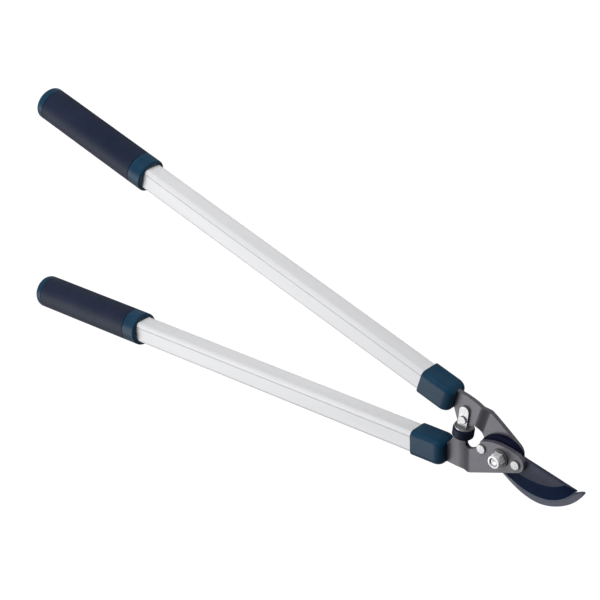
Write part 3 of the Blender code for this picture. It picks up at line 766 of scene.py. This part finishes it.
def makeWasher():
    low = stack["front"] + stack["gap"]
    high = low + stack["washer"]
    radius, inner = washer["radius"], washer["inner"]
    bm = spun([(low, radius), (high, radius), (high, inner), (low, inner)], axisZ, closed=True)
    roundEdges(bm, rings(bm, axisZ, radius), washer["edge"], 4)
    bmesh.ops.translate(bm, verts=bm.verts, vec=pivot)
    piece = newObject(bm, "pivotWasher")
    finishPiece(piece, "hook_half", "pivot_washer", [washerZinc])


bolt = {
    "radius": 0.0040, "recess": 0.0012, "head": 0.0053, "shankRoot": 0.0010, "chamfer": 0.0007,
    "dimpleRadius": 0.0018, "dimpleDepth": 0.0004,
}


def makeBolt():
    headTop = -stack["front"] - stack["gap"]
    nutLow = stack["front"] + 2 * stack["gap"] + stack["washer"]
    end = nutLow + stack["hex"] + stack["collar"] - bolt["recess"]
    radius = bolt["radius"]
    bm = hexagon(headTop - bolt["head"], headTop, 0.0)
    chamferHexagon(bm, headTop - bolt["head"], -1)
    piece = newObject(bm, "pivotBolt")
    shank = spun(
        [
            (headTop - bolt["shankRoot"], 0.0), (headTop - bolt["shankRoot"], radius),
            (end - bolt["chamfer"], radius), (end, radius - bolt["chamfer"]),
            (end, bolt["dimpleRadius"]), (end - bolt["dimpleDepth"], 0.0),
        ],
        axisZ, steps=64,
    )
    cutWith(piece, newObject(shank, "shank"), "UNION")
    piece.data.transform(Matrix.Translation(pivot))
    finishPiece(piece, "hook_half", "pivot_bolt", [zinc], nut["sharpAngle"])


rivet = {
    "front": (0.0170, 0.0015), "rear": (-0.0208, -0.0013), "headRadius": 0.0047,
    "headHeight": 0.0014, "radius": 0.0028, "bottom": -0.0019, "rim": 0.0006,
}


def makeBladeRivet(which):
    low = stack["front"] + stack["gap"]
    top = low + rivet["headHeight"]
    bm = spun(
        [
            (top, 0.0), (top, rivet["headRadius"]), (low, rivet["headRadius"]),
            (low, rivet["radius"]), (rivet["bottom"], rivet["radius"]), (rivet["bottom"], 0.0),
        ],
        axisZ, steps=64,
    )
    roundEdges(bm, rings(bm, axisZ, rivet["headRadius"], top), rivet["rim"], 4)
    bmesh.ops.translate(bm, verts=bm.verts, vec=pivot + Vector((*rivet[which], 0)))
    piece = newObject(bm, "bladeRivet" + which.capitalize())
    finishPiece(piece, "blade_half", "blade_rivet_" + which, [rivetSteel])


makeNut()
makeWasher()
makeBolt()
makeBladeRivet("front")
makeBladeRivet("rear")
print("pivot hardware made")


# Bumper under the upper arm

bumper = {
    "x": -0.0470, "rubberRadius": 0.0104, "rubberBottom": -0.0033, "rubberTop": 0.0061,
    "rubberRound": 0.0014, "counterbore": 0.0043, "counterboreTop": 0.0013, "studRadius": 0.0028,
    "discRadius": 0.0094, "discThickness": 0.0017, "discRound": 0.0006,
    "bracketRound": 0.0004, "rivetRound": 0.0003,
}
bumperRubber = mottledMaterial("bumperRubber", {
    "tones": ((0.003, 0.007, 0.021), (0.006, 0.011, 0.029)), "rough": (0.42, 0.58), "specular": 0.20,
    "grain": (1100.0, 3.0, 0.6), "clouds": (1100.0, 3.0, 0.6), "bump": (0.00006, 0.5),
})


def makeBumperPad():
    radius, stud, counterbore = bumper["rubberRadius"], bumper["studRadius"], bumper["counterbore"]
    pad = spun(
        [
            (bumper["rubberTop"], radius), (bumper["rubberBottom"], radius),
            (bumper["rubberBottom"], counterbore), (bumper["counterboreTop"], counterbore),
            (bumper["counterboreTop"], stud), (bumper["rubberTop"], stud),
        ],
        axisY, closed=True,
    )
    roundEdges(pad, rings(pad, axisY, radius), bumper["rubberRound"], 5)
    bmesh.ops.translate(pad, verts=pad.verts, vec=pivot + axisX * bumper["x"])
    piece = newObject(pad, "bumperPad")
    finishPiece(piece, "hook_half", "bumper_rubber", [bumperRubber])


def makeBumperDisc():
    radius, stud = bumper["discRadius"], bumper["studRadius"]
    low = bumper["rubberTop"] + stack["gap"]
    high = low + bumper["discThickness"]
    disc = spun([(high, radius), (low, radius), (low, stud), (high, stud)], axisY, closed=True)
    roundEdges(disc, rings(disc, axisY, radius), bumper["discRound"], 4)
    bmesh.ops.translate(disc, verts=disc.verts, vec=pivot + axisX * bumper["x"])
    piece = newObject(disc, "bumperDisc")
    finishPiece(piece, "hook_half", "bumper_disc", [zinc])


def makeBracketPiece(name, node, angle, width):
    bm = copyOf(node)
    roundEdges(bm, sharpEdges(bm, angle), width, 3)
    finishPiece(newObject(bm, name), "hook_half", node, [rivetSteel])


makeBumperPad()
makeBumperDisc()
makeBracketPiece("bumperBracket", "bumper_bracket", 40, bumper["bracketRound"])
makeBracketPiece("bracketRivet", "bracket_rivet", 30, bumper["rivetRound"])
print("bumper made")


# Inner pieces that keep their CAD shape, with their own finishes

nylonFinish = {
    "base": (0.55, 0.54, 0.50), "rough": 0.5, "clouds": (240.0, 3.0), "bump": (0.00004, 0.4),
    "tones": ((0.50, 0.49, 0.45), (0.58, 0.57, 0.53)),
}


def nylonMaterial():
    made, tree, shader = newMaterial("paleNylon", nylonFinish["base"], nylonFinish["rough"])
    clouds = noise(tree, place(tree), *nylonFinish["clouds"])
    tree.links.new(twoTone(tree, clouds, *nylonFinish["tones"]), shader.inputs["Base Color"])
    bump(tree, shader, clouds, *nylonFinish["bump"])
    return made


nylon = nylonMaterial()
innerFinishes = {
    "upper_tang_insert": nylon,
    "lower_tang_insert": nylon,
    "upper_tang_pin": zinc,
    "lower_tang_pin": zinc,
    "pivot_bush": zinc,
    "bumper_stud": zinc,
}
for name, finish in innerFinishes.items():
    nodes[name].data.materials.clear()
    nodes[name].data.materials.append(finish)
print("inner pieces finished")


# Floor, light and camera

studio = {
    "floor": (0.45, 0.45, 0.45), "floorRough": 0.9, "floorSize": 6.0, "floorDrop": 0.0002,
    "floorGlow": 1.15, "glowShare": 0.88,
    "world": (0.97, 0.98, 1.0, 1.0), "worldTurn": (0.75, -0.35), "worldStrength": (0.10, 0.5),
    "camera": (0.6531, 0.9677, 1.1488), "turn": (-28.140, 41.155, 6.367), "lens": 106.5,
    "sensor": 36.0, "clipEnd": 20.0,
}
lamps = {
    "keyLight": {
        "spot": (-0.80, -0.60, 1.15), "aim": (0.15, 0, 0), "size": (1.2, 1.2), "power": 12.0,
        "glossy": True,
    },
    "fillLight": {
        "spot": (-0.3, 1.6, 0.9), "aim": (0, 0, 0), "size": (1.4, 0.8), "power": 30.0,
        "glossy": False,
    },
}


def makeFloor():
    bm = bmesh.new()
    bmesh.ops.create_grid(bm, x_segments=1, y_segments=1, size=studio["floorSize"])
    bmesh.ops.translate(bm, verts=bm.verts, vec=(0, 0, -studio["floorDrop"]))
    floor = newObject(bm, "floor")
    made, tree, shader = newMaterial("paleFloor", studio["floor"], studio["floorRough"], specular=0.0)
    # the floor glows for the camera only, so that it stays pale and still shows shadows
    glow = tree.nodes.new("ShaderNodeEmission")
    glow.inputs["Strength"].default_value = studio["floorGlow"]
    path = tree.nodes.new("ShaderNodeLightPath")
    share = tree.nodes.new("ShaderNodeMath")
    share.operation = "MULTIPLY"
    share.inputs[1].default_value = studio["glowShare"]
    mix = tree.nodes.new("ShaderNodeMixShader")
    tree.links.new(path.outputs["Is Camera Ray"], share.inputs[0])
    tree.links.new(share.outputs[0], mix.inputs[0])
    tree.links.new(shader.outputs[0], mix.inputs[1])
    tree.links.new(glow.outputs[0], mix.inputs[2])
    tree.links.new(mix.outputs[0], tree.nodes["Material Output"].inputs["Surface"])
    floor.data.materials.append(made)


def makeLight(name, lamp):
    light = bpy.data.lights.new(name, "AREA")
    light.shape = "RECTANGLE"
    light.size, light.size_y = lamp["size"]
    light.energy = lamp["power"]
    made = bpy.data.objects.new(name, light)
    made.location = lamp["spot"]
    aim = Vector(lamp["aim"]) - Vector(lamp["spot"])
    made.rotation_euler = aim.to_track_quat("-Z", "Y").to_euler()
    made.visible_glossy = lamp["glossy"]
    bpy.context.scene.collection.objects.link(made)


def makeWorld():
    # brighter on the side away from the blades, and white wherever the camera sees it
    world = bpy.data.worlds.new("softStudio")
    world.use_nodes = True
    bpy.context.scene.world = world
    tree = world.node_tree
    background = tree.nodes["Background"]
    background.inputs["Color"].default_value = studio["world"]
    direction = tree.nodes.new("ShaderNodeTexCoord")
    split = tree.nodes.new("ShaderNodeSeparateXYZ")
    tree.links.new(direction.outputs["Generated"], split.inputs[0])
    side = mapped(
        tree, split.outputs["X"], *studio["worldTurn"], *studio["worldStrength"], "SMOOTHSTEP"
    )
    path = tree.nodes.new("ShaderNodeLightPath")
    white = tree.nodes.new("ShaderNodeMath")
    white.operation = "MAXIMUM"
    tree.links.new(side, white.inputs[0])
    tree.links.new(path.outputs["Is Camera Ray"], white.inputs[1])
    tree.links.new(white.outputs[0], background.inputs["Strength"])


def makeCamera():
    view = bpy.data.cameras.new("camera")
    view.lens = studio["lens"]
    view.sensor_width = studio["sensor"]
    view.clip_end = studio["clipEnd"]
    camera = bpy.data.objects.new("camera", view)
    camera.location = pivot + Vector(studio["camera"])
    camera.rotation_euler = [math.radians(a) for a in studio["turn"]]
    bpy.context.scene.collection.objects.link(camera)
    bpy.context.scene.camera = camera


makeFloor()
makeWorld()
for name, lamp in lamps.items():
    makeLight(name, lamp)
makeCamera()
bpy.context.scene.view_settings.view_transform = "Standard"
print("studio made")
